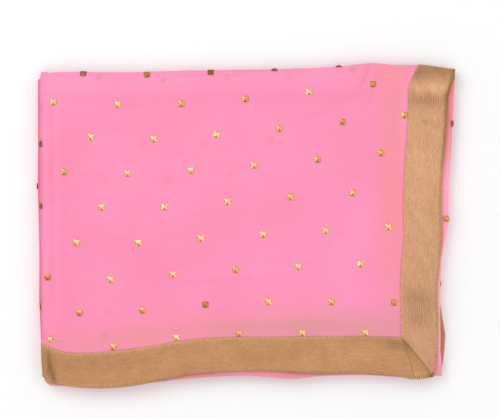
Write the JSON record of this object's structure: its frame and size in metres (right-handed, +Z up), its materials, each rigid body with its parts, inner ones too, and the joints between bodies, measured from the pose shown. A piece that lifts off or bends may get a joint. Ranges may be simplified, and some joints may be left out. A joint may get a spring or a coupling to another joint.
{
  "type": "folded dupatta stole",
  "caption": "Sheer dupatta stole with small pyramid studs and a woven ribbon border, folded into a flat stack with its mitred corner on top, to lie on a shelf or table.",
  "frame": {"origin": "centre of the bounding box, on the surface that the stack lies on", "axes": "+X towards the end of the cloth, whose ribbon lies at the right; +Y towards the fold at the back; +Z up"},
  "size_m": [0.4192, 0.3256, 0.0199],
  "materials": {
    "cloth": "sheer plain-woven georgette, bright pink",
    "inner_cloth": "folds of the same sheer georgette, deeper pink where layers lie on each other",
    "ribbon": "woven antique-gold ribbon with fine ribs and a corded edge",
    "stud_metal": "pressed pyramid studs, polished gold tone"
  },
  "bodies": {
    "root": {"top_panel": "cloth", "folded_layers": "inner_cloth", "end_border": "ribbon", "side_border": "ribbon", "corner_tuck": "ribbon", "lower_end_border": "ribbon"}
  },
  "joints": []
}
